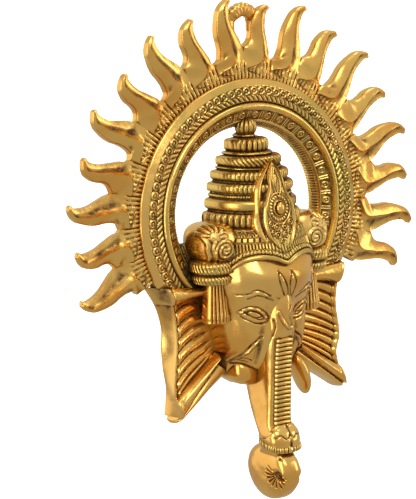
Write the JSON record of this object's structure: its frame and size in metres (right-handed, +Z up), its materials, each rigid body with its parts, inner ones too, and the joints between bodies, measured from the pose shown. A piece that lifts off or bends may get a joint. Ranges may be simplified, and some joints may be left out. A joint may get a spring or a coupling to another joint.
{
  "type": "ganesha wall hanging",
  "caption": "Cast metal wall hanging: an elephant-headed face with a tiered crown and curled trunk, inside a moulded halo ring with flame rays and a hanging arch.",
  "frame": {"origin": "where the nail touches the underside of the hanging arch, on the wall", "axes": "+Z up, +Y into the wall and -Y towards the viewer, +X to the viewer's right"},
  "size_m": [0.3003, 0.0574, 0.3608],
  "materials": {
    "antique_gold": "polished antique gold, with dark brown patina in the recesses and small casting pits"
  },
  "bodies": {
    "root": {"ganesha_sun_hanging": "antique_gold"}
  },
  "joints": []
}
